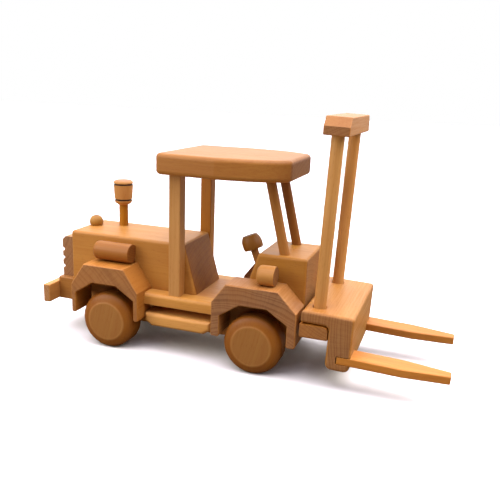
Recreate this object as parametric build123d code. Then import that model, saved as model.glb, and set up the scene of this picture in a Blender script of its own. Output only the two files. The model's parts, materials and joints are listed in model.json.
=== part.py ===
from build123d import *
import math
import os

# Wooden toy forklift.
#
# Frame: +X points the way the forks point, +Y is the driver's left, +Z is up.
# The origin is on the ground, under the middle of the forklift's outer box.
# The layout numbers below are measured from the middle of the cab floor, and
# SHIFT_X moves the whole forklift so that its box is centred on the origin.
# All lengths are in millimetres.

# --- overall layout -------------------------------------------------------
SHIFT_X = -57.13           # from the cab datum to the middle of the box

# --- wheels and axles -----------------------------------------------------
WHEEL_R = 30.0
WHEEL_WIDTH = 24.0
WHEEL_FLAT_R = 20.0        # flat hub face inside the rounded rim
WHEEL_RIM_OUT = 8.5        # depth of the rounding on the outer side
WHEEL_CREASE = 18.0        # degrees by which the rounding starts below the flat
WHEEL_RIM_IN = 4.0         # and on the inner side
WHEEL_FACE_Y = 62.0        # outer face of a wheel
REAR_AXLE_X = -74.2
FRONT_AXLE_X = 87.2
AXLE_R = 5.0
AXLE_PLAY = 0.05           # radial running clearance in the chassis
AXLE_IN_WHEEL = 14.0       # depth of the blind hole in a wheel

# --- chassis --------------------------------------------------------------
BODY_HALF_Y = 33.0         # half width of hood, deck and console
DECK_REAR_X = -133.8
DECK_FRONT_X = 134.3
DECK_BOTTOM_Z = 50.0
DECK_TOP_Z = 63.5
BEAM_REAR_X = -112.0
BEAM_FRONT_X = 120.0
BEAM_HALF_Y = 28.0
BEAM_TAIL_Z = 38.0         # underside of its shallow tail behind the rear wheels
BEAM_BOTTOM_Z = 22.0
BEAM_BEVEL = 2.0

SIDE_REAR_X = -36.0        # floor boards beside the deck
SIDE_FRONT_X = 45.0
SIDE_OUTER_Y = 49.0
SIDE_BOTTOM_Z = 51.8
SIDE_EDGE_R = 4.0
STEP_REAR_X = -35.0        # running boards under them
STEP_FRONT_X = 39.0
STEP_OUTER_Y = 50.0
STEP_BOTTOM_Z = 28.5
STEP_TOP_Z = 42.3
STEP_CUT_X = 7.8
STEP_CUT_Z = 5.0
STEP_EDGE_R = 3.5

# --- rear end -------------------------------------------------------------
BLOCK_REAR_X = -151.5
BLOCK_BOTTOM_Z = 36.0
BLOCK_TOP_Z = 61.5
BLOCK_SIDE_R = 1.5
BAR_THICK = 8.0
BAR_HALF_Y = 51.5
BAR_BOTTOM_Z = 36.5
BAR_TOP_Z = 56.5
BAR_EDGE_R = 1.2
GRILLE_REAR_X = -150.8
GRILLE_HALF_Y = 27.5
GRILLE_TOP_Z = 107.3
GRILLE_CUT = 5.5
GRILLE_GROOVES_Z = (92.0, 82.4, 72.7)
GROOVE_HALF_WIDTH = 2.1
GROOVE_DEPTH = 4.0
GRILLE_EDGE_R = 3.0

# --- engine hood ----------------------------------------------------------
HOOD_TOP_Z = 116.3
HOOD_FRONT_TOP_X = 1.2
HOOD_FRONT_BOTTOM_X = 16.3
HOOD_EDGE_R = 3.0

CAP_R = 7.6
CAP_CENTRE = (-125.3, 4.0, 120.2)

EXHAUST_X = -97.5
EXHAUST_Y = 17.0
EXHAUST_STEM_R = 5.0
EXHAUST_STEM_BOTTOM_Z = 101.0
EXHAUST_HEAD_BOTTOM_Z = 140.5
EXHAUST_HEAD_TOP_Z = 168.2
EXHAUST_SOCKET = 12.0
EXHAUST_R_TOP = 10.8
EXHAUST_R_LOW = 9.8
EXHAUST_GROOVES_Z = (146.4, 163.8)
EXHAUST_GROOVE = 0.9

TANK_R = 10.0
TANK_REAR_X = -97.5
TANK_FRONT_X = -54.4
TANK_Y = 40.0
TANK_Z = 101.0
TANK_REAR_R = 4.5
TURNED_END_R = 0.8         # front ends of the tank and the headlights

# --- fenders --------------------------------------------------------------
FENDER_OUTER_Y = 63.0
FENDER_BOTTOM_Z = 35.3
FENDER_TOP_Z = 90.0
# back and front end of the flat top, from the middle of the arch
FENDER_TOP_X = {"rear": (-23.6, 23.6), "front": (-28.6, 24.2)}
FENDER_SHOULDER_Z = {"rear": 66.3, "front": 70.5}
FENDER_HALF_X = {"rear": 39.5, "front": 43.1}
FENDER_CENTRE_X = {"rear": -75.6, "front": 88.1}
ARCH_TOP_Z = 70.5
ARCH_TOP_HALF_X = 14.0
ARCH_SHOULDER_Z = 57.3
ARCH_HALF_X = 34.3
FENDER_EDGE_R = 1.4
FENDER_FOOT_R = 2.2

# --- console, headlights and steering ------------------------------------
CONSOLE_FRONT_X = 131.5
CONSOLE_REAR_TOP_X = 81.8
CONSOLE_REAR_BOTTOM_X = 64.6
CONSOLE_TOP_Z = 116.4
CONSOLE_EDGE_R = 3.0
LAMP_R = 10.0
LAMP_REAR_X = 87.0
LAMP_FRONT_X = 105.3
LAMP_Y = 47.0
LAMP_Z = 99.8
LAMP_REAR_R = 5.0

KNOB_CENTRE_X = 63.7
KNOB_CENTRE_Z = 119.0
STEER_TILT = 22.0          # the column leans back by this many degrees
KNOB_HEIGHT = 15.0
KNOB_R_TOP = 7.5
KNOB_R_MAX = 10.7
KNOB_R_BOTTOM = 9.8
KNOB_WIDEST = -1.8         # height of the widest ring above the middle
KNOB_SHOULDER = 3.2        # height at which it starts to close towards its top
KNOB_SHOULDER_R = 9.8
COLUMN_R = 4.0
COLUMN_PLAY = 0.05
COLUMN_LENGTH = 43.0
COLUMN_IN_KNOB = 9.0
COLUMN_END_PLAY = 0.5      # room below the column in its hole

# --- cab ------------------------------------------------------------------
POST_REAR_X = -9.5
POST_SIDE = 12.5
POST_EDGE_R = 0.8
ROOF_BOTTOM_Z = 189.0
ROOF_THICK = 21.0
ROOF_REAR_X = -20.2
ROOF_FRONT_X = 112.6
ROOF_REAR_HALF_Y = 56.5
ROOF_MID_HALF_Y = 60.0
ROOF_MID_X = 44.0
ROOF_SHOULDER_X = 84.0
ROOF_SHOULDER_HALF_Y = 53.2
ROOF_FRONT_HALF_Y = 37.0
ROOF_CORNER_R = 7.0
ROOF_EDGE_R = 4.5
SCREEN_R = 5.0
SCREEN_Y = 22.6
SCREEN_TOP_X = 88.0        # where a dowel meets the underside of the roof
SCREEN_FOOT_X = 106.0      # where it meets the top of the console
PIN_R = 3.0
PIN_DEPTH = 8.0
PIN_BEVEL = 0.6
SCREEN_IN_ROOF = 10.0
SCREEN_IN_CONSOLE = 12.0

# --- mast and lift --------------------------------------------------------
MAST_LEAN = 2.0            # the mast leans forward by this many degrees
MAST_X = 148.6             # pole centres, at the height of LEAN_Z
LEAN_Z = 62.8
POLE_R = 6.0
POLE_Y = 43.0
POLE_BOTTOM_Z = 49.0
POLE_PLAY = 0.05           # radial running clearance in the carriage
MAST_BASE_FRONT_X = 160.9
MAST_BASE_HALF_Y = 60.6
MAST_BASE_BOTTOM_Z = 48.0
MAST_BASE_TOP_Z = 61.5
MAST_BASE_EDGE_R = 4.5
MAST_BASE_FOOT_R = 2.0
BASE_PIN_R = 4.0
BASE_PIN_Y = 18.0
BASE_PIN_Z = 56.0
BASE_PIN_HALF = 13.0
CROSSBAR_HALF_X = 12.0
CROSSBAR_HALF_Y = 53.5
CROSSBAR_BOTTOM_Z = 236.0
CROSSBAR_TOP_Z = 252.5
CROSSBAR_CUT_Y = 7.0
CROSSBAR_CUT_Z = 8.5
CROSSBAR_EDGE_R = 1.0
POLE_IN_CROSSBAR = 11.0

CARRIAGE_REAR_X = 135.2
CARRIAGE_LEG_X = 161.8
CARRIAGE_FRONT_X = 185.0
CARRIAGE_HALF_Y = 60.6
CARRIAGE_BOTTOM_Z = 20.5
CARRIAGE_TOP_Z = 75.0
CARRIAGE_TOE_R = 6.0
CARRIAGE_INNER_R = 4.0
CARRIAGE_EDGE_R = 3.2
POLE_HOLE_BEVEL = 1.2      # chamfer at the top of the two pole holes

FORK_WIDTH = 23.4
FORK_ROOT_X = 171.5
FORK_BEND_X = 232.0
FORK_TIP_X = 274.8
FORK_TIP_WIDTH = 11.0
FORK_BOTTOM_Z = 28.0
FORK_TOP_Z = 36.2
FORK_BEND_R = 10.0
FORK_EDGE_R = 1.2
FORK_TENON_DROP = 0.9      # the end in the carriage is this much thinner
FORK_TENON_PLAY = 1.0      # and ends this far short of its notch

SIDES = (("right", -1), ("left", 1))


# --- helpers --------------------------------------------------------------
def block(x0, x1, y0, y1, z0, z1):
    """A box between two corners."""
    centre = ((x0 + x1) / 2, (y0 + y1) / 2, (z0 + z1) / 2)
    return Pos(*centre) * Box(abs(x1 - x0), abs(y1 - y0), abs(z1 - z0))


def rod(radius, start, end):
    """A round rod between two points."""
    line = Edge.make_line(start, end)
    plane = Plane(origin=line.position_at(0), z_dir=line.tangent_at(0))
    return extrude(plane * Circle(radius), line.length)


def profile_xz(points, y0, y1):
    """A side profile of (x, z) points, carried from y0 to y1."""
    face = make_face(Polyline(*[(x, y0, z) for x, z in points], close=True))
    return extrude(face, amount=y1 - y0, dir=(0, 1, 0))


def turned(points):
    """A turned piece: (radius, height) points swept about the Z axis."""
    outline = Polyline(*[(r, 0, z) for r, z in points], close=True)
    return revolve(make_face(outline), Axis.Z, 360)


def soften(solid, radius, wanted):
    """Round the edges for which wanted(edge centre) is true."""
    edges = solid.edges().filter_by(lambda edge: wanted(edge.center()))
    return fillet(edges, radius)


def near(value, target, tolerance=0.2):
    return abs(value - target) < tolerance


def leaned(solid):
    """Tip a mast piece forward about the foot of the mast."""
    pivot = Pos(MAST_X, 0, LEAN_Z)
    return pivot * Rot(0, MAST_LEAN, 0) * pivot.inverse() * solid


def leaned_pole(side, extra_radius, z0, z1):
    y = side * POLE_Y
    return leaned(rod(POLE_R + extra_radius, (MAST_X, y, z0), (MAST_X, y, z1)))


# --- wheels ---------------------------------------------------------------
def wheel(x, side):
    """Thick wheel with a flat hub face and a blind hole from the inside."""
    rim_out = WHEEL_WIDTH - WHEEL_RIM_OUT
    crease = math.radians(WHEEL_CREASE)
    with BuildPart() as turned_wheel:
        with BuildSketch(Plane.XZ):
            with BuildLine():
                Line((0, 0), (WHEEL_R - WHEEL_RIM_IN, 0))
                CenterArc((WHEEL_R - WHEEL_RIM_IN, WHEEL_RIM_IN), WHEEL_RIM_IN, -90, 90)
                Line((WHEEL_R, WHEEL_RIM_IN), (WHEEL_R, rim_out))
                Spline((WHEEL_R, rim_out), (WHEEL_FLAT_R, WHEEL_WIDTH),
                       tangents=((0, 1), (-math.cos(crease), math.sin(crease))))
                Line((WHEEL_FLAT_R, WHEEL_WIDTH), (0, WHEEL_WIDTH))
                Line((0, WHEEL_WIDTH), (0, 0))
            make_face()
        revolve(axis=Axis.Z)
    solid = turned_wheel.part - rod(AXLE_R, (0, 0, 0), (0, 0, AXLE_IN_WHEEL))
    inner_y = side * (WHEEL_FACE_Y - WHEEL_WIDTH)
    return Pos(x, inner_y, WHEEL_R) * Rot(-90 * side, 0, 0) * solid


def axle(x):
    half = WHEEL_FACE_Y - WHEEL_WIDTH + AXLE_IN_WHEEL
    return rod(AXLE_R, (x, -half, WHEEL_R), (x, half, WHEEL_R))


# --- chassis --------------------------------------------------------------
def chassis_beam():
    solid = block(BEAM_REAR_X, BEAM_FRONT_X, -BEAM_HALF_Y, BEAM_HALF_Y,
                  BEAM_BOTTOM_Z, DECK_BOTTOM_Z)
    solid += block(DECK_REAR_X, BEAM_REAR_X, -BEAM_HALF_Y, BEAM_HALF_Y,
                   BEAM_TAIL_Z, DECK_BOTTOM_Z)
    for x in (REAR_AXLE_X, FRONT_AXLE_X):
        solid -= rod(AXLE_R + AXLE_PLAY, (x, -BEAM_HALF_Y - 1, WHEEL_R),
                     (x, BEAM_HALF_Y + 1, WHEEL_R))
    return chamfer(solid.edges().filter_by(Axis.X).group_by(Axis.Z)[0], BEAM_BEVEL)


def chassis_pins(x):
    """Two dowels along X that lock an end block to the deck."""
    return [rod(BASE_PIN_R, (x - BASE_PIN_HALF, side * BASE_PIN_Y, BASE_PIN_Z),
                (x + BASE_PIN_HALF, side * BASE_PIN_Y, BASE_PIN_Z)) for _, side in SIDES]


def deck_board():
    solid = block(DECK_REAR_X, DECK_FRONT_X, -BODY_HALF_Y, BODY_HALF_Y,
                  DECK_BOTTOM_Z, DECK_TOP_Z)
    for pin in chassis_pins(DECK_REAR_X) + chassis_pins(DECK_FRONT_X):
        solid -= pin
    return solid


def floor_side(side):
    solid = block(SIDE_REAR_X, SIDE_FRONT_X, side * BODY_HALF_Y, side * SIDE_OUTER_Y,
                  SIDE_BOTTOM_Z, DECK_TOP_Z)
    outer = solid.edges().filter_by(Axis.X).group_by(Axis.Y)[-1 if side > 0 else 0]
    solid = fillet(outer.group_by(Axis.Z)[-1], SIDE_EDGE_R)
    return solid - post_pin(side, DECK_TOP_Z)


def step_board(side):
    points = [
        (STEP_REAR_X, STEP_TOP_Z),
        (STEP_REAR_X, STEP_BOTTOM_Z + STEP_CUT_Z),
        (STEP_REAR_X + STEP_CUT_X, STEP_BOTTOM_Z),
        (STEP_FRONT_X - STEP_CUT_X, STEP_BOTTOM_Z),
        (STEP_FRONT_X, STEP_BOTTOM_Z + STEP_CUT_Z),
        (STEP_FRONT_X, STEP_TOP_Z),
    ]
    low, high = sorted((side * BEAM_HALF_Y, side * STEP_OUTER_Y))
    solid = profile_xz(points, low, high)
    return soften(solid, STEP_EDGE_R, lambda c: near(c.Y, side * STEP_OUTER_Y))


# --- rear end -------------------------------------------------------------
def bumper_block():
    solid = block(BLOCK_REAR_X, DECK_REAR_X, -BODY_HALF_Y, BODY_HALF_Y,
                  BLOCK_BOTTOM_Z, BLOCK_TOP_Z)
    solid = soften(solid, BLOCK_SIDE_R, lambda c: near(abs(c.Y), BODY_HALF_Y)
                   and not near(c.X, DECK_REAR_X) and not near(c.X, BLOCK_REAR_X))
    for pin in chassis_pins(DECK_REAR_X):
        solid -= pin
    return solid


def bumper_bar():
    solid = block(BLOCK_REAR_X - BAR_THICK, BLOCK_REAR_X, -BAR_HALF_Y, BAR_HALF_Y,
                  BAR_BOTTOM_Z, BAR_TOP_Z)
    return fillet(solid.edges(), BAR_EDGE_R)


def radiator_grille():
    """Thick board with a cut top edge and three saw grooves across it."""
    points = [
        (DECK_REAR_X, BLOCK_TOP_Z),
        (DECK_REAR_X, GRILLE_TOP_Z),
        (GRILLE_REAR_X + GRILLE_CUT, GRILLE_TOP_Z),
        (GRILLE_REAR_X, GRILLE_TOP_Z - GRILLE_CUT),
        (GRILLE_REAR_X, BLOCK_TOP_Z),
    ]
    solid = profile_xz(points, -GRILLE_HALF_Y, GRILLE_HALF_Y)
    solid = soften(solid, GRILLE_EDGE_R, lambda c: near(c.X, GRILLE_REAR_X)
                   and near(abs(c.Y), GRILLE_HALF_Y))
    floor_x = GRILLE_REAR_X + GROOVE_DEPTH - GROOVE_HALF_WIDTH
    for z in GRILLE_GROOVES_Z:
        solid -= block(GRILLE_REAR_X - 1, floor_x, -GRILLE_HALF_Y - 1,
                       GRILLE_HALF_Y + 1, z - GROOVE_HALF_WIDTH, z + GROOVE_HALF_WIDTH)
        solid -= rod(GROOVE_HALF_WIDTH, (floor_x, -GRILLE_HALF_Y - 1, z),
                     (floor_x, GRILLE_HALF_Y + 1, z))
    return solid


# --- engine hood ----------------------------------------------------------
def engine_hood():
    points = [
        (DECK_REAR_X, DECK_TOP_Z),
        (DECK_REAR_X, HOOD_TOP_Z),
        (HOOD_FRONT_TOP_X, HOOD_TOP_Z),
        (HOOD_FRONT_BOTTOM_X, DECK_TOP_Z),
    ]
    solid = profile_xz(points, -BODY_HALF_Y, BODY_HALF_Y)
    solid = soften(solid, HOOD_EDGE_R, lambda c: c.Z > DECK_TOP_Z + 1)
    solid -= radiator_cap()
    return solid - rod(EXHAUST_STEM_R, (EXHAUST_X, EXHAUST_Y, EXHAUST_STEM_BOTTOM_Z),
                       (EXHAUST_X, EXHAUST_Y, HOOD_TOP_Z + 1))


def radiator_cap():
    return Pos(*CAP_CENTRE) * Sphere(CAP_R)


def exhaust_stem():
    return rod(EXHAUST_STEM_R, (EXHAUST_X, EXHAUST_Y, EXHAUST_STEM_BOTTOM_Z),
               (EXHAUST_X, EXHAUST_Y, EXHAUST_HEAD_BOTTOM_Z + EXHAUST_SOCKET))


def exhaust_head():
    """Turned head: a slight taper, two burned grooves and a rounded top."""
    z0 = EXHAUST_HEAD_BOTTOM_Z
    z1 = EXHAUST_HEAD_TOP_Z
    low_groove, high_groove = EXHAUST_GROOVES_Z
    depth = EXHAUST_GROOVE
    outline = [(0, z0), (EXHAUST_STEM_R + 1.0, z0), (EXHAUST_R_LOW - 1.2, z0 + 2.0),
               (EXHAUST_R_LOW, z0 + 3.8)]
    for z, radius in ((low_groove, EXHAUST_R_LOW), (high_groove, EXHAUST_R_TOP)):
        outline += [(radius, z - depth), (radius - depth, z - depth / 2),
                    (radius - depth, z + depth / 2), (radius, z + depth)]
    outline += [(EXHAUST_R_TOP, z1 - 2.4), (EXHAUST_R_TOP - 0.8, z1 - 1.0),
                (EXHAUST_R_TOP - 2.4, z1 - 0.2), (EXHAUST_R_TOP - 4.5, z1), (0, z1)]
    solid = Pos(EXHAUST_X, EXHAUST_Y, 0) * turned(outline)
    return solid - exhaust_stem()


def side_tank():
    """Round tank with a flat back, glued to the driver's right of the hood."""
    solid = rod(TANK_R, (TANK_REAR_X, -TANK_Y, TANK_Z), (TANK_FRONT_X, -TANK_Y, TANK_Z))
    solid = soften(solid, TANK_REAR_R, lambda c: near(c.X, TANK_REAR_X))
    solid = soften(solid, TURNED_END_R, lambda c: near(c.X, TANK_FRONT_X))
    return solid & block(TANK_REAR_X - 1, TANK_FRONT_X + 1, -TANK_Y - TANK_R - 1,
                         -BODY_HALF_Y, TANK_Z - TANK_R - 1, TANK_Z + TANK_R + 1)


# --- fenders --------------------------------------------------------------
def fender(end, side):
    """One arch over a wheel, with straight cuts instead of a curve."""
    x = FENDER_CENTRE_X[end]
    half = FENDER_HALF_X[end]
    shoulder = FENDER_SHOULDER_Z[end]
    top_back, top_front = FENDER_TOP_X[end]
    outer = [(x - half, FENDER_BOTTOM_Z), (x - half, shoulder),
             (x + top_back, FENDER_TOP_Z), (x + top_front, FENDER_TOP_Z),
             (x + half, shoulder), (x + half, FENDER_BOTTOM_Z)]
    inner = [(x + ARCH_HALF_X, FENDER_BOTTOM_Z), (x + ARCH_HALF_X, ARCH_SHOULDER_Z),
             (x + ARCH_TOP_HALF_X, ARCH_TOP_Z), (x - ARCH_TOP_HALF_X, ARCH_TOP_Z),
             (x - ARCH_HALF_X, ARCH_SHOULDER_Z), (x - ARCH_HALF_X, FENDER_BOTTOM_Z)]
    low, high = sorted((side * BODY_HALF_Y, side * FENDER_OUTER_Y))
    solid = profile_xz(outer + inner, low, high)
    solid = soften(solid, FENDER_FOOT_R, lambda c: near(c.Z, FENDER_BOTTOM_Z)
                   and near(abs(c.Y), (BODY_HALF_Y + FENDER_OUTER_Y) / 2))
    return soften(solid, FENDER_EDGE_R, lambda c: near(abs(c.Y), FENDER_OUTER_Y))


# --- console, headlights and steering ------------------------------------
def steering_axis():
    """Unit vector up the steering column."""
    return Vector(0, 0, 1).rotate(Axis.Y, -STEER_TILT)


def steering_column(extra_radius=0.0, extra_length=0.0):
    up = steering_axis()
    centre = Vector(KNOB_CENTRE_X, 0, KNOB_CENTRE_Z)
    top = centre + up * (COLUMN_IN_KNOB - KNOB_HEIGHT / 2)
    foot = top - up * (COLUMN_LENGTH + extra_length)
    return rod(COLUMN_R + extra_radius, foot, top)


def steering_knob():
    bottom = -KNOB_HEIGHT / 2
    top = KNOB_HEIGHT / 2
    with BuildPart() as knob:
        with BuildSketch(Plane.XZ):
            with BuildLine():
                Line((0, bottom), (KNOB_R_BOTTOM, bottom))
                Spline((KNOB_R_BOTTOM, bottom), (KNOB_R_MAX, KNOB_WIDEST),
                       (KNOB_SHOULDER_R, KNOB_SHOULDER), (KNOB_R_TOP, top))
                Line((KNOB_R_TOP, top), (0, top))
                Line((0, top), (0, bottom))
            make_face()
        revolve(axis=Axis.Z)
    solid = Pos(KNOB_CENTRE_X, 0, KNOB_CENTRE_Z) * Rot(0, -STEER_TILT, 0) * knob.part
    return solid - steering_column()


def screen_dowel_line(side, past_roof, past_console):
    """Ends of a windscreen dowel, run on past the roof and the console."""
    y = side * SCREEN_Y
    top = Vector(SCREEN_TOP_X, y, ROOF_BOTTOM_Z)
    foot = Vector(SCREEN_FOOT_X, y, CONSOLE_TOP_Z)
    along = (top - foot).normalized()
    return foot - along * past_console, top + along * past_roof


def screen_dowel(side):
    return rod(SCREEN_R, *screen_dowel_line(side, SCREEN_IN_ROOF, SCREEN_IN_CONSOLE))


def console():
    points = [
        (CONSOLE_REAR_BOTTOM_X, DECK_TOP_Z),
        (CONSOLE_REAR_TOP_X, CONSOLE_TOP_Z),
        (CONSOLE_FRONT_X, CONSOLE_TOP_Z),
        (CONSOLE_FRONT_X, DECK_TOP_Z),
    ]
    solid = profile_xz(points, -BODY_HALF_Y, BODY_HALF_Y)
    solid = soften(solid, CONSOLE_EDGE_R, lambda c: c.Z > DECK_TOP_Z + 1)
    for _, side in SIDES:
        solid -= screen_dowel(side)
    return solid - steering_column(COLUMN_PLAY, COLUMN_END_PLAY)


def headlight(side):
    solid = rod(LAMP_R, (LAMP_REAR_X, side * LAMP_Y, LAMP_Z),
                (LAMP_FRONT_X, side * LAMP_Y, LAMP_Z))
    solid = soften(solid, LAMP_REAR_R, lambda c: near(c.X, LAMP_REAR_X))
    solid = soften(solid, TURNED_END_R, lambda c: near(c.X, LAMP_FRONT_X))
    return solid & block(LAMP_REAR_X - 1, LAMP_FRONT_X + 1, side * (LAMP_Y - 2 * LAMP_R),
                         side * (LAMP_Y + 2 * LAMP_R), FENDER_TOP_Z, LAMP_Z + 2 * LAMP_R)


# --- cab ------------------------------------------------------------------
def post_pin(side, z):
    """Hidden dowel at one end of a cab post."""
    x = POST_REAR_X + POST_SIDE / 2
    y = side * (BODY_HALF_Y + POST_SIDE / 2)
    return rod(PIN_R, (x, y, z - PIN_DEPTH), (x, y, z + PIN_DEPTH))


def post_pins():
    pins = [post_pin(side, z) for _, side in SIDES for z in (DECK_TOP_Z, ROOF_BOTTOM_Z)]
    return Compound([chamfer(pin.edges().filter_by(GeomType.CIRCLE), PIN_BEVEL) for pin in pins])


def cab_post(side):
    inner = side * BODY_HALF_Y
    solid = block(POST_REAR_X, POST_REAR_X + POST_SIDE, inner, inner + side * POST_SIDE,
                  DECK_TOP_Z, ROOF_BOTTOM_Z)
    solid = fillet(solid.edges().filter_by(Axis.Z), POST_EDGE_R)
    return solid - post_pin(side, DECK_TOP_Z) - post_pin(side, ROOF_BOTTOM_Z)


def roof_board():
    """Thick board, widest at the middle, whose sides curve in towards the front."""
    rear = (ROOF_REAR_X, ROOF_REAR_HALF_Y)
    middle = (ROOF_MID_X, ROOF_MID_HALF_Y)
    shoulder = (ROOF_SHOULDER_X, ROOF_SHOULDER_HALF_Y)
    front = (ROOF_FRONT_X, ROOF_FRONT_HALF_Y)
    with BuildPart() as board:
        with BuildSketch(Plane.XY.offset(ROOF_BOTTOM_Z)):
            with BuildLine():
                Line((rear[0], -rear[1]), rear)
                Line(rear, middle)
                Spline(middle, shoulder, front, tangents=((1, -0.14), (1, -0.85)))
                Line(front, (front[0], -front[1]))
                Spline((front[0], -front[1]), (shoulder[0], -shoulder[1]),
                       (middle[0], -middle[1]), tangents=((-1, -0.85), (-1, -0.14)))
                Line((middle[0], -middle[1]), (rear[0], -rear[1]))
            make_face()
        extrude(amount=ROOF_THICK)
    solid = fillet(board.part.edges().filter_by(Axis.Z), ROOF_CORNER_R)
    flat_edges = solid.edges().filter_by(
        lambda e: near(e.center().Z, ROOF_BOTTOM_Z) or near(e.center().Z, ROOF_BOTTOM_Z + ROOF_THICK))
    solid = fillet(flat_edges, ROOF_EDGE_R)
    for _, side in SIDES:
        solid -= post_pin(side, ROOF_BOTTOM_Z)
        solid -= screen_dowel(side)
    return solid


# --- mast and lift --------------------------------------------------------
def mast_base():
    """Cross block in front of the console that the two poles stand in."""
    solid = block(DECK_FRONT_X, MAST_BASE_FRONT_X, -MAST_BASE_HALF_Y, MAST_BASE_HALF_Y,
                  MAST_BASE_BOTTOM_Z, MAST_BASE_TOP_Z)
    solid = soften(solid, MAST_BASE_EDGE_R, lambda c: near(c.X, MAST_BASE_FRONT_X)
                   and near(c.Z, MAST_BASE_TOP_Z))
    solid = soften(solid, MAST_BASE_FOOT_R, lambda c: near(c.Z, MAST_BASE_BOTTOM_Z)
                   and near(abs(c.Y), MAST_BASE_HALF_Y))
    for _, side in SIDES:
        solid -= leaned_pole(side, 0, POLE_BOTTOM_Z, MAST_BASE_TOP_Z + 5)
    for pin in chassis_pins(DECK_FRONT_X):
        solid -= pin
    return solid


def mast_pole(side):
    return leaned_pole(side, 0, POLE_BOTTOM_Z, CROSSBAR_BOTTOM_Z + POLE_IN_CROSSBAR)


def mast_crossbar():
    half_y = CROSSBAR_HALF_Y
    x0 = MAST_X - CROSSBAR_HALF_X
    outline = [(-half_y, CROSSBAR_BOTTOM_Z), (half_y, CROSSBAR_BOTTOM_Z),
               (half_y, CROSSBAR_TOP_Z - CROSSBAR_CUT_Z), (half_y - CROSSBAR_CUT_Y, CROSSBAR_TOP_Z),
               (CROSSBAR_CUT_Y - half_y, CROSSBAR_TOP_Z), (-half_y, CROSSBAR_TOP_Z - CROSSBAR_CUT_Z)]
    face = make_face(Polyline(*[(x0, y, z) for y, z in outline], close=True))
    solid = extrude(face, amount=2 * CROSSBAR_HALF_X, dir=(1, 0, 0))
    solid = leaned(fillet(solid.edges(), CROSSBAR_EDGE_R))
    for _, side in SIDES:
        solid -= mast_pole(side)
    return solid


def carriage():
    """Angle block that slides on the poles and carries the forks."""
    top_leg = block(CARRIAGE_REAR_X, CARRIAGE_FRONT_X, -CARRIAGE_HALF_Y, CARRIAGE_HALF_Y,
                    LEAN_Z, CARRIAGE_TOP_Z)
    front_leg = block(CARRIAGE_LEG_X, CARRIAGE_FRONT_X, -CARRIAGE_HALF_Y, CARRIAGE_HALF_Y,
                      CARRIAGE_BOTTOM_Z, LEAN_Z)
    solid = (top_leg + front_leg).clean()
    solid = soften(solid, CARRIAGE_TOE_R, lambda c: near(c.Z, CARRIAGE_BOTTOM_Z)
                   and near(c.Y, 0))
    solid = soften(solid, CARRIAGE_INNER_R, lambda c: near(c.X, CARRIAGE_LEG_X)
                   and near(c.Z, LEAN_Z))
    solid = soften(solid, CARRIAGE_EDGE_R, lambda c: near(c.X, CARRIAGE_FRONT_X)
                   or near(c.Z, CARRIAGE_TOP_Z))
    for _, side in SIDES:
        y = side * (CARRIAGE_HALF_Y - FORK_WIDTH)
        solid -= block(FORK_ROOT_X, CARRIAGE_FRONT_X + 1, y, side * (CARRIAGE_HALF_Y + 1),
                       FORK_BOTTOM_Z, FORK_TOP_Z)
        solid -= rod(POLE_R + POLE_PLAY, (MAST_X, side * POLE_Y, LEAN_Z - 5),
                     (MAST_X, side * POLE_Y, CARRIAGE_TOP_Z + 5))
        rim = solid.edges().filter_by(GeomType.CIRCLE).filter_by(
            lambda edge: near(edge.center().Z, CARRIAGE_TOP_Z)
            and near(edge.center().Y, side * POLE_Y))
        solid = chamfer(rim, POLE_HOLE_BEVEL)
    return leaned(solid)


def fork(side):
    """Flat tine, straight from the carriage and then drawn in to its tip."""
    centre = side * (CARRIAGE_HALF_Y - FORK_WIDTH / 2)
    half = FORK_WIDTH / 2
    tip = FORK_TIP_WIDTH / 2
    root = FORK_ROOT_X + FORK_TENON_PLAY
    outline = [(root, centre - half), (FORK_BEND_X, centre - half),
               (FORK_TIP_X, centre - tip), (FORK_TIP_X, centre + tip),
               (FORK_BEND_X, centre + half), (root, centre + half)]
    face = make_face(Polyline(*[(x, y, FORK_BOTTOM_Z) for x, y in outline], close=True))
    solid = extrude(face, amount=FORK_TOP_Z - FORK_BOTTOM_Z, dir=(0, 0, 1))
    middle_z = (FORK_BOTTOM_Z + FORK_TOP_Z) / 2
    solid = soften(solid, FORK_BEND_R, lambda c: near(c.X, FORK_BEND_X) and near(c.Z, middle_z))
    solid = soften(solid, FORK_EDGE_R, lambda c: c.X > CARRIAGE_FRONT_X)
    solid -= block(FORK_ROOT_X - 1, CARRIAGE_FRONT_X, centre - half - 1, centre + half + 1,
                   FORK_TOP_Z - FORK_TENON_DROP, FORK_TOP_Z + 1)
    return leaned(solid)


# --- every piece ----------------------------------------------------------
def pieces():
    parts = {
        "chassis_beam": chassis_beam(),
        "deck_board": deck_board(),
        "chassis_pins": Compound(chassis_pins(DECK_REAR_X) + chassis_pins(DECK_FRONT_X)),
        "bumper_block": bumper_block(),
        "bumper_bar": bumper_bar(),
        "radiator_grille": radiator_grille(),
        "engine_hood": engine_hood(),
        "radiator_cap": radiator_cap(),
        "exhaust_stem": exhaust_stem(),
        "exhaust_head": exhaust_head(),
        "side_tank": side_tank(),
        "console": console(),
        "steering_column": steering_column(),
        "steering_knob": steering_knob(),
        "post_pins": post_pins(),
        "roof_board": roof_board(),
        "mast_base": mast_base(),
        "mast_crossbar": mast_crossbar(),
        "carriage": carriage(),
        "rear_axle": axle(REAR_AXLE_X),
        "front_axle": axle(FRONT_AXLE_X),
    }
    for name, side in SIDES:
        parts["floor_side_" + name] = floor_side(side)
        parts["step_board_" + name] = step_board(side)
        parts["rear_fender_" + name] = fender("rear", side)
        parts["front_fender_" + name] = fender("front", side)
        parts["headlight_" + name] = headlight(side)
        parts["cab_post_" + name] = cab_post(side)
        parts["screen_dowel_" + name] = screen_dowel(side)
        parts["mast_pole_" + name] = mast_pole(side)
        parts["fork_" + name] = fork(side)
        parts["rear_wheel_" + name] = wheel(REAR_AXLE_X, side)
        parts["front_wheel_" + name] = wheel(FRONT_AXLE_X, side)
    return parts


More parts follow.
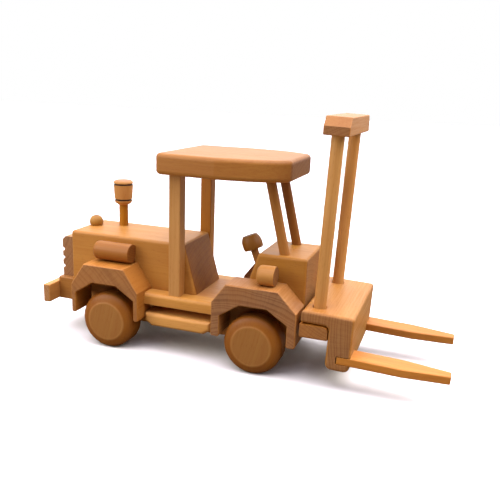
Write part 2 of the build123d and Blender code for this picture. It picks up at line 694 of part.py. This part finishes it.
def main():
    os.makedirs("parts", exist_ok=True)
    for name, solid in pieces().items():
        export_step(Pos(SHIFT_X, 0, 0) * solid, f"parts/{name}.step")


main()
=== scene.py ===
"""Looks of the wooden toy forklift: oiled beech, studio light, camera and floor."""

import json
import math

import bpy
from mathutils import Matrix, Vector


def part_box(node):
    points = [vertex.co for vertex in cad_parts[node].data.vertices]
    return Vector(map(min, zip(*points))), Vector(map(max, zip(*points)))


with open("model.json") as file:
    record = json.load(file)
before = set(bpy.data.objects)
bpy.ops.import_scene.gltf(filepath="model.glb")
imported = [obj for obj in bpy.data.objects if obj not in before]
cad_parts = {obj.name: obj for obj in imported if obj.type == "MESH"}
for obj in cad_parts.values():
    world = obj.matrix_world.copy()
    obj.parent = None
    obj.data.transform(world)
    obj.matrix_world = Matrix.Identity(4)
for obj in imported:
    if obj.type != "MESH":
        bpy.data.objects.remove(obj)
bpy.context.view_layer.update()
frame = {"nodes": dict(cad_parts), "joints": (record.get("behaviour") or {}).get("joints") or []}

MM = 0.001
X_AXIS = (1.0, 0.0, 0.0)
Y_AXIS = (0.0, 1.0, 0.0)
Z_AXIS = (0.0, 0.0, 1.0)
SIDES = ("right", "left")   # index 0 and 1 where pieces of a pair differ
WHITE = (1.0, 1.0, 1.0, 1.0)

# --- camera: where it stands, in m, and how it is turned, in degrees ------------
CAMERA_PLACE = (0.2038, -0.5866, 0.2722)
CAMERA_AZIMUTH = 18.73
CAMERA_DOWN = 14.67
CAMERA_ROLL = 2.23
CAMERA_LENS = 44.16
CAMERA_SENSOR = 36.0

# --- studio light: places and sizes in m, power in W ----------------------------
CEILING_LIGHT = 7.6        # strength straight overhead
CEILING_FOCUS = 5.0        # how fast it falls off towards the walls
CEILING_TINT = (1.0, 0.93, 1.10, 1.0)
WALL_LIGHT = 0.04
BACK_MIRROR = 1.7          # what shines in the wood from behind the toy
FRONT_MIRROR = 0.15        # and from the camera's side
MIRROR_TURN = (-0.3, 0.6)  # where, along Y, the one fades into the other
PALE_TINT = (1.0, 0.95, 0.86)
WARM_TINT = (1.0, 0.93, 0.86)
# name: place, aim, size, power, tint
SOFTBOXES = {
    "left_light": ((-0.70, -0.60, 0.50), (-0.12, 0.0, 0.08), (0.6, 0.6), 5.6, PALE_TINT),
    "right_light": ((0.95, 0.05, 1.05), (0.1, 0.0, 0.1), (0.8, 0.8), 13.0, WARM_TINT),
    "back_light": ((-0.2, 0.75, 0.85), (0.0, 0.0, 0.1), (0.9, 0.6), 3.0, PALE_TINT),
}

# --- floor paper: what the camera sees, and the duller light it throws back -----
FLOOR_HALF = 6.0           # m
MOTTLE_SCALE = 40.0
MOTTLE_BAND = (0.3, 0.7)
PAPER_ROUGH = 0.9
PAPER_SHINE = 0.1
FLOOR_PALE = (237, 236, 231)
FLOOR_DARK = (235, 234, 229)
THROWN_PALE = (122, 112, 88)
THROWN_DARK = (120, 110, 86)

# --- beech colours, as 0-255 screen values --------------------------------------
SIDE_PALE = (200, 139, 68)
SIDE_DARK = (178, 111, 45)
END_PALE = (172, 121, 74)
END_DARK = (134, 86, 48)
FLECK_BROWN = (138, 82, 38)
BLOTCH_BROWN = (184, 118, 54)
# painted highlight: the pale colour that rounded corners are lightened towards
EDGE_HIGHLIGHT_PALE = (214, 164, 100)
SCORCHED = (48, 26, 14)
# painted highlight: the pale ring where a wheel's flat meets its rim
RIM_HIGHLIGHT_PALE = (196, 136, 74)
WOOD_TONE = 0.86           # overall depth of the oiled colour
RIM_SHADE_TINT = (0.82, 0.62, 0.16, 1.0)   # painted shade: makes a wheel's rim darker and more orange than its flat
WARMTH_GREEN = -5          # what one step of warmth or gold adds to green and to blue
WARMTH_BLUE = -15
GOLD_GREEN = 4
GOLD_BLUE = -8
DARK_BLUE_SHARE = 0.8      # dark long grain takes up this much of the shift in blue
END_SHARE = 0.5            # and end grain this much of both

# --- beech figure: how patterns stretch along the grain, and their scales per m --
FIBRE_STRETCH = 0.035      # fibres are about 30 times as long as they are wide
FLECK_STRETCH = 0.13
BROAD_STRETCH = 0.10
BLOTCH_STRETCH = 0.4
WANDER_STRETCH = 0.12
RAY_STRETCH = 0.06
FIBRE_SCALE = 620.0
FLECK_SCALE = 720.0
BROAD_SCALE = 85.0
BLOTCH_SCALE = 24.0
WANDER_SCALE = 28.0
RAY_SCALE = 900.0
RAY_REACH = 0.12           # distance from the heart, in m, at which rays have that scale
RING_WANDER = 6.0          # mm that a ring strays from a true circle
RING_UNEVEN = 1.6          # how much the rings differ in width, in rings
UNEVEN_SCALE = 0.45
LATE_FROM = 0.30           # late wood darkens from here, as a share of the ring
LATE_PEAK = 0.86           # to here, and then ends sharply

# --- beech: the part of each pattern's range that marks the wood, and how much ---
FIBRE_BAND = (0.32, 0.74)
BROAD_BAND = (0.35, 0.70)
BLOTCH_BAND = (0.36, 0.66)
FLECK_BAND = (0.26, 0.10)  # distance from a fleck's middle, so it runs downwards
END_GRAIN_BAND = (0.80, 0.95)   # how squarely a face cuts across the fibres
EDGE_HIGHLIGHT_BAND = (0.98, 0.80)        # how far a corner turns away from its flat
SIDE_RINGS = 0.14
SIDE_FIBRES = 0.34
SIDE_BROAD = 0.34
END_RINGS = 0.50
END_RAYS = 0.30
END_BROAD = 0.15
FLECKS = 0.30
BLOTCHES = 0.30
# painted highlight on rounded corners: how strong, and how far round it reaches
EDGE_HIGHLIGHT_AMOUNT = 0.28
EDGE_HIGHLIGHT_RADIUS = 0.9          # mm

# --- beech surface ---------------------------------------------------------------
ROUGH_BAND = (0.3, 0.75)   # along the same fibres
ROUGH_RANGE = (0.42, 0.54)
END_ROUGHER = 0.10
FLECK_ROUGHER = 0.08
FIBRE_RELIEF = 0.8
RING_RELIEF = 0.35
FLECK_RELIEF = 0.5
RELIEF_DEPTH = 0.10        # mm
RELIEF_STRENGTH = 0.5
OIL_IOR = 1.46
OIL_SHINE = 0.4

# --- turned and burned pieces: places as shares, widths in mm ---------------------
WHEEL_FLAT = 0.667         # the flat of a wheel, as a share of its radius
RIM_FADE = 2.5
# painted highlight ring at a wheel's crease: half widths, and how strong
RIM_HIGHLIGHT_HALF_WIDTH = (2.0, 0.1)
RIM_HIGHLIGHT_AMOUNT = 0.17
EXHAUST_GROOVES = (0.213, 0.841)   # heights in the exhaust's head
GROOVE_HALF_WIDTH = (1.25, 0.6)


def linear(value):
    """One 0-255 screen value as linear light."""
    value /= 255.0
    if value <= 0.04045:
        return value / 12.92
    return ((value + 0.055) / 1.055) ** 2.4


def colour(red, green, blue, tone=1.0):
    """A linear RGBA colour, made lighter or darker by tone."""
    return tuple(linear(v) * tone for v in (red, green, blue)) + (1.0,)


class Tree:
    """Adds nodes and links to a new material or world; a value may be a number or a socket."""

    def __init__(self, owner):
        owner.use_nodes = True
        self.owner = owner
        self.nodes = owner.node_tree.nodes
        self.links = owner.node_tree.links
        self.nodes.clear()

    def feed(self, socket, value):
        if isinstance(value, bpy.types.NodeSocket):
            self.links.new(value, socket)
        else:
            socket.default_value = value

    def node(self, kind, inputs, **settings):
        made = self.nodes.new(kind)
        for key, value in settings.items():
            setattr(made, key, value)
        for key, value in inputs.items():
            self.feed(made.inputs[key], value)
        return made

    def math(self, operation, a, b=0.0, clamp=False):
        made = self.node("ShaderNodeMath", {0: a, 1: b}, operation=operation, use_clamp=clamp)
        return made.outputs[0]

    def vector(self, operation, a, b):
        made = self.node("ShaderNodeVectorMath", {0: a, 1: b}, operation=operation)
        return made.outputs["Value" if operation in ("DOT_PRODUCT", "LENGTH") else "Vector"]

    def stretch(self, vector, amount):
        """A pattern's place, made longer along the grain by an amount under 1."""
        return self.vector("MULTIPLY", vector, (1.0, 1.0, amount))

    def length(self, vector):
        return self.vector("LENGTH", vector, (0, 0, 0))

    def noise(self, vector, scale, detail=2.0, roughness=0.5):
        made = self.node("ShaderNodeTexNoise", {"Vector": vector, "Scale": scale, "Detail": detail,
                                                "Roughness": roughness})
        return made.outputs[0]

    def smooth(self, value, low, high, out_low=0.0, out_high=1.0):
        """Maps low..high to out_low..out_high with soft ends."""
        made = self.node("ShaderNodeMapRange",
                         {"Value": value, "From Min": low, "From Max": high,
                          "To Min": out_low, "To Max": out_high},
                         interpolation_type="SMOOTHSTEP")
        return made.outputs[0]

    def mix(self, factor, a, b, blend="MIX"):
        """One colour over another."""
        made = self.node("ShaderNodeMix", {0: factor, 6: a, 7: b},
                         data_type="RGBA", blend_type=blend)
        return made.outputs[2]

    def shader(self, kind, inputs):
        return self.node(kind, inputs).outputs[0]


# --- beech -------------------------------------------------------------------
def growth_rings(tree, along, pitch):
    """0 in early wood to 1 in the dark late wood of each annual ring."""
    wander = tree.noise(tree.stretch(along, WANDER_STRETCH), WANDER_SCALE)
    radius = tree.length(tree.stretch(along, 0.0))
    radius = tree.math("ADD", radius, tree.math("MULTIPLY", wander, RING_WANDER * MM))
    count = tree.math("DIVIDE", radius, pitch)
    uneven = tree.node("ShaderNodeTexNoise", {"W": count, "Scale": UNEVEN_SCALE, "Detail": 1.0},
                       noise_dimensions="1D").outputs[0]
    count = tree.math("ADD", count, tree.math("MULTIPLY", uneven, RING_UNEVEN))
    band = tree.math("FRACT", count)
    rise = tree.smooth(band, LATE_FROM, LATE_PEAK)
    fall = tree.smooth(band, LATE_PEAK, 1.0, 1.0, 0.0)
    return tree.math("MULTIPLY", rise, fall)


def wood_rays(tree, along):
    """Fine lines that run out from the heart, seen on end grain."""
    parts = tree.node("ShaderNodeSeparateXYZ", {0: along})
    angle = tree.math("ARCTAN2", parts.outputs[0], parts.outputs[1])
    across = tree.math("MULTIPLY", angle, RAY_REACH)
    out = tree.math("MULTIPLY", tree.length(tree.stretch(along, 0.0)), RAY_STRETCH)
    spot = tree.node("ShaderNodeCombineXYZ", {0: across, 1: out})
    return tree.noise(spot.outputs[0], RAY_SCALE, detail=3.0)


def edge_highlight(tree):
    """1 on rounded corners, where a pale painted highlight goes, 0 on flats."""
    rounded = tree.node("ShaderNodeBevel", {"Radius": EDGE_HIGHLIGHT_RADIUS * MM}, samples=4)
    flat = tree.node("ShaderNodeNewGeometry", {})
    same = tree.vector("DOT_PRODUCT", rounded.outputs[0], flat.outputs["Normal"])
    return tree.smooth(same, *EDGE_HIGHLIGHT_BAND)


def scorched_grooves(levels):
    """Burns the wood black-brown in the grooves at these heights."""
    outer, inner = GROOVE_HALF_WIDTH

    def finish(tree, place, wood):
        height = tree.node("ShaderNodeSeparateXYZ", {0: place}).outputs[2]
        burned = 0.0
        for level in levels:
            off = tree.math("ABSOLUTE", tree.math("SUBTRACT", height, level))
            burned = tree.math("ADD", burned, tree.smooth(off, outer * MM, inner * MM), clamp=True)
        return tree.mix(burned, wood, colour(*SCORCHED))
    return finish


def rim_shade_and_highlight(hub, flat_radius):
    """A wheel's painted light: painted shade makes the rim darker and more orange, and a pale painted
    highlight rings its inner edge.
    """
    outer, inner = RIM_HIGHLIGHT_HALF_WIDTH

    def finish(tree, place, wood):
        spoke = tree.vector("MULTIPLY", tree.vector("SUBTRACT", place, hub), (1.0, 0.0, 1.0))
        radius = tree.length(spoke)
        rim = tree.smooth(radius, flat_radius, flat_radius + RIM_FADE * MM)
        # painted shade: the rim multiplied darker and more orange
        wood = tree.mix(rim, wood, RIM_SHADE_TINT, "MULTIPLY")
        off = tree.math("ABSOLUTE", tree.math("SUBTRACT", radius, flat_radius))
        ring = tree.smooth(off, outer * MM, inner * MM)
        # painted highlight: a pale ring along the inner edge of the rim
        return tree.mix(tree.math("MULTIPLY", ring, RIM_HIGHLIGHT_AMOUNT), wood, colour(*RIM_HIGHLIGHT_PALE))
    return finish


def side_marks(tree, late, fibre, broad, figure):
    """How dark the long grain is from place to place, 0 to 1."""
    mark = tree.math("MULTIPLY", late, SIDE_RINGS * figure)
    mark = tree.math("ADD", mark, tree.smooth(fibre, *FIBRE_BAND, 0.0, SIDE_FIBRES * figure))
    return tree.math("ADD", mark, tree.smooth(broad, *BROAD_BAND, 0.0, SIDE_BROAD), clamp=True)


def end_marks(tree, late, rays, broad, figure):
    """How dark the end grain is from place to place, 0 to 1."""
    mark = tree.math("MULTIPLY", late, END_RINGS * figure)
    mark = tree.math("ADD", mark, tree.smooth(rays, *BROAD_BAND, 0.0, END_RAYS))
    return tree.math("ADD", mark, tree.smooth(broad, *BROAD_BAND, 0.0, END_BROAD), clamp=True)


def shifted(base, green, blue, tone):
    """A colour with its green and blue moved, made lighter or darker by tone."""
    return colour(base[0], base[1] + green, base[2] + blue, tone)


def long_grain(tree, mark, tone, warmth, gold):
    """Colour of the faces along the fibres."""
    green = GOLD_GREEN * gold + WARMTH_GREEN * warmth
    blue = GOLD_BLUE * gold + WARMTH_BLUE * warmth
    pale = shifted(SIDE_PALE, green, blue, tone)
    return tree.mix(mark, pale, shifted(SIDE_DARK, green, DARK_BLUE_SHARE * blue, tone))


def end_grain(tree, mark, tone, warmth, gold, end_warmth):
    """Colour of the faces across the fibres."""
    warmth = END_SHARE * warmth + end_warmth
    gold = END_SHARE * gold
    green = GOLD_GREEN * gold + WARMTH_GREEN * warmth
    blue = GOLD_BLUE * gold + WARMTH_BLUE * warmth
    pale = shifted(END_PALE, green, blue, tone)
    return tree.mix(mark, pale, shifted(END_DARK, green, blue, tone))


def oiled_surface(tree, wood, fibre, late, fleck, end):
    """A satin shader, rougher on end grain, with a fine relief of fibres, rings and flecks."""
    rough = tree.math("ADD", tree.smooth(fibre, *ROUGH_BAND, *ROUGH_RANGE),
                      tree.math("MULTIPLY", end, END_ROUGHER))
    rough = tree.math("ADD", rough, tree.math("MULTIPLY", fleck, FLECK_ROUGHER))
    height = tree.math("ADD", tree.math("MULTIPLY", fibre, FIBRE_RELIEF),
                       tree.math("MULTIPLY", late, RING_RELIEF))
    height = tree.math("SUBTRACT", height, tree.math("MULTIPLY", fleck, FLECK_RELIEF))
    bump = tree.node("ShaderNodeBump", {"Height": height, "Strength": RELIEF_STRENGTH,
                                        "Distance": RELIEF_DEPTH * MM})
    return tree.shader("ShaderNodeBsdfPrincipled",
                       {"Base Color": wood, "Roughness": rough, "Normal": bump.outputs[0],
                        "IOR": OIL_IOR, "Specular IOR Level": OIL_SHINE})


def beech(name, grain, pith, pitch=3.2, tone=1.0, warmth=0.0, gold=0.0, figure=1.0,
          end_tone=1.0, end_warmth=0.0, finish=None):
    """Oiled beech cut from one board.

    grain is the direction of the fibres and pith a point on the heart line of
    the tree the board came from, so growth rings, fibres and end grain agree
    on every face. warmth moves the colour towards orange and gold towards
    yellow, end_tone and end_warmth change the end grain alone, and the last
    argument lays marks over the wood: burned grooves on the exhaust, and on
    the wheels painted shade on the rim with a painted highlight at its edge.
    """
    tree = Tree(bpy.data.materials.new(name))
    coords = tree.node("ShaderNodeTexCoord", {})
    turn = Vector(grain).rotation_difference(Vector(Z_AXIS))
    heart = turn @ Vector(pith)
    along = tree.node("ShaderNodeMapping",
                      {"Vector": coords.outputs["Object"], "Location": -heart,
                       "Rotation": turn.to_euler()}).outputs[0]

    late = growth_rings(tree, along, pitch * MM)
    rays = wood_rays(tree, along)
    fibre = tree.noise(tree.stretch(along, FIBRE_STRETCH), FIBRE_SCALE, detail=4.0, roughness=0.62)
    broad = tree.noise(tree.stretch(along, BROAD_STRETCH), BROAD_SCALE, detail=3.0)
    blotch = tree.noise(tree.stretch(along, BLOTCH_STRETCH), BLOTCH_SCALE)
    fleck = tree.node("ShaderNodeTexVoronoi",
                      {"Vector": tree.stretch(along, FLECK_STRETCH),
                       "Scale": FLECK_SCALE}).outputs["Distance"]
    fleck = tree.smooth(fleck, *FLECK_BAND)
    facing = tree.vector("DOT_PRODUCT", coords.outputs["Normal"], grain)
    end = tree.smooth(tree.math("ABSOLUTE", facing), *END_GRAIN_BAND)

    tone *= WOOD_TONE
    side = long_grain(tree, side_marks(tree, late, fibre, broad, figure), tone, warmth, gold)
    ends = end_grain(tree, end_marks(tree, late, rays, broad, figure), tone * end_tone,
                     warmth, gold, end_warmth)
    wood = tree.mix(end, side, ends)
    wood = tree.mix(tree.math("MULTIPLY", fleck, FLECKS), wood, colour(*FLECK_BROWN, tone))
    wood = tree.mix(tree.smooth(blotch, *BLOTCH_BAND, 0.0, BLOTCHES), wood,
                    colour(*BLOTCH_BROWN, tone))
    # painted highlight: rounded corners lightened towards a pale colour
    wood = tree.mix(tree.math("MULTIPLY", edge_highlight(tree), EDGE_HIGHLIGHT_AMOUNT), wood, colour(*EDGE_HIGHLIGHT_PALE, tone))
    # marks laid over the wood: burned grooves, and on the wheels painted shade and a painted
    # highlight
    if finish:
        wood = finish(tree, coords.outputs["Object"], wood)

    surface = oiled_surface(tree, wood, fibre, late, fleck, end)
    tree.node("ShaderNodeOutputMaterial", {"Surface": surface})
    return tree.owner


def paint(node, material):
    """Gives a CAD node its wood, in every material slot it has."""
    mesh = frame["nodes"][node].data
    mesh.materials.clear()
    mesh.materials.append(material)


def middle(node):
    """The middle of a node's box."""
    low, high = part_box(node)
    return (low + high) / 2


def board(node, grain, heart, **looks):
    """A node's own beech; heart is the way from its middle to the tree's heart, in mm."""
    pith = middle(node) + Vector(heart) * MM
    paint(node, beech("beech_" + node, grain, pith, **looks))


# --- which way each piece was cut ---------------------------------------------
def joint_axis(name):
    """The axis of one joint, as the record states it."""
    joint = next(j for j in frame["joints"] if j["name"] == name)
    return tuple(joint["axis"])


def mean_point(points):
    return sum(points, Vector()) / len(points)


def between_ends(node):
    """Unit vector along a leaning dowel in the X-Z plane, from its lower to its upper end."""
    points = [v.co for v in frame["nodes"][node].data.vertices]
    low = min(p.z for p in points)
    high = max(p.z for p in points)
    reach = 0.1 * (high - low)
    bottom = [p for p in points if p.z < low + reach]
    top = [p for p in points if p.z > high - reach]
    way = mean_point(top) - mean_point(bottom)
    way.y = 0.0
    return tuple(way.normalized())


def dress_chassis():
    board("deck_board", X_AXIS, (0, 30, -120), pitch=3.6, tone=0.98)
    board("chassis_beam", X_AXIS, (0, -40, 90), tone=1.1)
    board("chassis_pins", X_AXIS, (0, 12, 30))
    board("bumper_block", X_AXIS, (0, 60, -70), tone=0.7, warmth=0.3)
    board("bumper_bar", Y_AXIS, (90, 0, 60), pitch=2.8, tone=1.18, warmth=-1.0, gold=0.6)
    for index, side in enumerate(SIDES):
        board("floor_side_" + side, X_AXIS, (0, 70 - 20 * index, -60), tone=1.16,
              warmth=-0.7, gold=1.2)
        board("step_board_" + side, X_AXIS, (0, 25, 80 + 15 * index), tone=1.33,
              warmth=-1.3, gold=1.0)


def dress_fenders():
    hearts = {"rear_fender_right": (-115, 0, -96), "rear_fender_left": (100, 0, -110),
              "front_fender_right": (-12, 0, -112), "front_fender_left": (30, 0, -120)}
    looks = {"rear": {"pitch": 5.6, "tone": 0.93, "warmth": 0.9, "figure": 0.9},
             "front": {"pitch": 3.7, "tone": 0.89, "warmth": -0.6, "figure": 1.4}}
    for node, heart in hearts.items():
        end = node.split("_")[0]
        board(node, Y_AXIS, heart, **looks[end])


def dress_bonnet():
    board("engine_hood", X_AXIS, (0, 40, -150), pitch=4.5, tone=0.94, warmth=0.1, gold=0.6,
          figure=0.7, end_tone=0.76, end_warmth=2.9)
    board("radiator_grille", Y_AXIS, (-70, 0, 50), pitch=2.6, tone=0.9, warmth=-1.3, gold=0.3)
    board("radiator_cap", Z_AXIS, (9, 6, 0), pitch=2.2, tone=0.83, warmth=-0.5, gold=2.2)
    board("exhaust_stem", Z_AXIS, (30, 10, 0), pitch=2.4, tone=0.86, warmth=2.4, gold=1.6)
    low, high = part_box("exhaust_head")
    grooves = [low.z + share * (high.z - low.z) for share in EXHAUST_GROOVES]
    board("exhaust_head", Z_AXIS, (24, -16, 0), pitch=2.4, tone=1.08, warmth=-1.3, gold=0.6,
          finish=scorched_grooves(grooves))
    board("side_tank", X_AXIS, (0, 14, 34), pitch=2.8, tone=0.67, warmth=1.8, end_tone=1.32,
          end_warmth=1.0)


def dress_cab():
    board("console", X_AXIS, (0, -50, -120), pitch=4.0, tone=0.84, warmth=0.5, gold=0.8, figure=0.7)
    board("roof_board", X_AXIS, (0, 60, -180), pitch=4.4, tone=0.77, warmth=0.6)
    column = joint_axis("steering_turn")
    board("steering_column", column, (10, 8, 4), pitch=2.2, tone=0.8)
    board("steering_knob", column, (22, 12, 8), pitch=2.4, tone=0.58, warmth=1.8, gold=0.9)
    board("post_pins", Z_AXIS, (12, 20, 0))
    for index, side in enumerate(SIDES):
        board("cab_post_" + side, Z_AXIS, (40 - 70 * index, 46, 0), pitch=3.0,
              tone=1.04 - 0.17 * index, warmth=-1.5 + 3.6 * index, gold=0.6)
        board("screen_dowel_" + side, between_ends("screen_dowel_" + side),
              (26, 20 - 30 * index, 6), pitch=2.6, tone=0.77 - 0.22 * index, warmth=0.6 + 2.0 * index)
        # end_tone=0.6 is painted shade: it darkens the lamps' end grain as the shadow on their front
        # ends
        board("headlight_" + side, X_AXIS, (0, 20, 26 - 8 * index), pitch=2.6, tone=0.95,
              warmth=-0.8, gold=0.8, end_tone=0.6)


def dress_mast():
    lean = joint_axis("lift_slide")
    board("mast_base", Y_AXIS, (60, 0, 120), pitch=3.2, tone=0.98, warmth=1.9)
    board("mast_crossbar", Y_AXIS, (-40, 0, 95), pitch=2.9, tone=0.92)
    board("carriage", Y_AXIS, (190, 0, 10), pitch=2.9, tone=0.88, warmth=-0.2, gold=0.5, figure=1.3,
          end_tone=1.05)
    for index, side in enumerate(SIDES):
        board("mast_pole_" + side, lean, (34 - 60 * index, 20, 0), pitch=3.0,
              tone=1.14 + 0.08 * index, warmth=-1.5, gold=0.8)
        board("fork_" + side, X_AXIS, (0, 40 - 70 * index, -90), pitch=3.4, tone=1.06 - 0.06 * index,
              warmth=1.2)


def dress_wheels():
    for end in ("rear", "front"):
        board(end + "_axle", Y_AXIS, (10, 0, 12), pitch=2.2)
        for index, side in enumerate(SIDES):
            node = f"{end}_wheel_{side}"
            low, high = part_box(node)
            grain = Vector((0.22 - 0.4 * index, 0.0, 1.0)).normalized()
            board(node, tuple(grain), (30, 95 - 190 * index, 0), pitch=4.4, tone=0.66, figure=0.8,
                  finish=rim_shade_and_highlight(tuple(middle(node)), WHEEL_FLAT * (high.z - low.z) / 2))


# --- floor, light and camera ---------------------------------------------------
def floor_paper():
    """Matt paper. The light that it throws back on the wood is duller than it looks."""
    tree = Tree(bpy.data.materials.new("floor_paper"))
    place = tree.node("ShaderNodeTexCoord", {}).outputs["Object"]
    mottle = tree.smooth(tree.noise(place, MOTTLE_SCALE, detail=3.0), *MOTTLE_BAND)
    looks = tree.mix(mottle, colour(*FLOOR_PALE), colour(*FLOOR_DARK))
    throws = tree.mix(mottle, colour(*THROWN_PALE), colour(*THROWN_DARK))
    seen = tree.node("ShaderNodeLightPath", {}).outputs["Is Camera Ray"]
    surface = tree.shader("ShaderNodeBsdfPrincipled",
                          {"Base Color": tree.mix(seen, throws, looks),
                           "Roughness": PAPER_ROUGH, "Specular IOR Level": PAPER_SHINE})
    tree.node("ShaderNodeOutputMaterial", {"Surface": surface})
    return tree.owner


def add_floor():
    mesh = bpy.data.meshes.new("floor")
    corners = [(-FLOOR_HALF, -FLOOR_HALF, 0), (FLOOR_HALF, -FLOOR_HALF, 0),
               (FLOOR_HALF, FLOOR_HALF, 0), (-FLOOR_HALF, FLOOR_HALF, 0)]
    mesh.from_pydata(corners, [], [(0, 1, 2, 3)])
    floor = bpy.data.objects.new("floor", mesh)
    bpy.context.scene.collection.objects.link(floor)
    mesh.materials.append(floor_paper())


def softbox(name, place, aim, size, power, tint):
    """A square or oblong area light that points from its place at its aim."""
    lamp = bpy.data.lights.new(name, "AREA")
    lamp.shape = "RECTANGLE"
    lamp.size, lamp.size_y = size
    lamp.energy = power
    lamp.color = tint
    box = bpy.data.objects.new(name, lamp)
    box.location = place
    box.rotation_euler = (Vector(aim) - Vector(place)).to_track_quat("-Z", "Y").to_euler()
    bpy.context.scene.collection.objects.link(box)


def background(tree, tint, strength):
    return tree.shader("ShaderNodeBackground", {"Color": tint, "Strength": strength})


def add_world():
    """White studio: a bright ceiling lights the wood, a bright back wall mirrors in its tops."""
    tree = Tree(bpy.data.worlds.new("studio"))
    coords = tree.node("ShaderNodeTexCoord", {})
    way = tree.node("ShaderNodeSeparateXYZ", {0: coords.outputs["Generated"]}).outputs
    overhead = tree.math("POWER", tree.math("MAXIMUM", way[2], 0.0), CEILING_FOCUS)
    ceiling = tree.math("ADD", tree.math("MULTIPLY", overhead, CEILING_LIGHT), WALL_LIGHT)
    back = tree.smooth(way[1], *MIRROR_TURN, FRONT_MIRROR, BACK_MIRROR)
    rays = tree.node("ShaderNodeLightPath", {}).outputs
    lighting = tree.shader("ShaderNodeMixShader",
                           {0: rays["Is Diffuse Ray"], 1: background(tree, WHITE, back),
                            2: background(tree, CEILING_TINT, ceiling)})
    whole = tree.shader("ShaderNodeMixShader",
                        {0: rays["Is Camera Ray"], 1: lighting, 2: background(tree, WHITE, 1.0)})
    tree.node("ShaderNodeOutputWorld", {"Surface": whole})
    bpy.context.scene.world = tree.owner


def add_light():
    for name, settings in SOFTBOXES.items():
        softbox(name, *settings)
    add_world()
    bpy.context.scene.view_settings.view_transform = "Standard"


def add_camera():
    """The camera looks along Y at azimuth 0, turned left by the azimuth and rolled after that."""
    azimuth = math.radians(CAMERA_AZIMUTH)
    down = math.radians(CAMERA_DOWN)
    roll = math.radians(CAMERA_ROLL)
    look = Vector((-math.sin(azimuth) * math.cos(down), math.cos(azimuth) * math.cos(down),
                   -math.sin(down)))
    right = look.cross(Vector(Z_AXIS)).normalized()
    up = right.cross(look)
    turned_right = right * math.cos(roll) + up * math.sin(roll)
    turned_up = up * math.cos(roll) - right * math.sin(roll)
    lens = bpy.data.cameras.new("camera")
    lens.lens = CAMERA_LENS
    lens.sensor_width = CAMERA_SENSOR
    camera = bpy.data.objects.new("camera", lens)
    turn = Matrix((turned_right, turned_up, -look)).transposed()
    camera.matrix_world = Matrix.Translation(CAMERA_PLACE) @ turn.to_4x4()
    bpy.context.scene.collection.objects.link(camera)
    bpy.context.scene.camera = camera


add_camera()
dress_chassis()
dress_fenders()
dress_bonnet()
dress_cab()
dress_mast()
dress_wheels()
add_floor()
add_light()
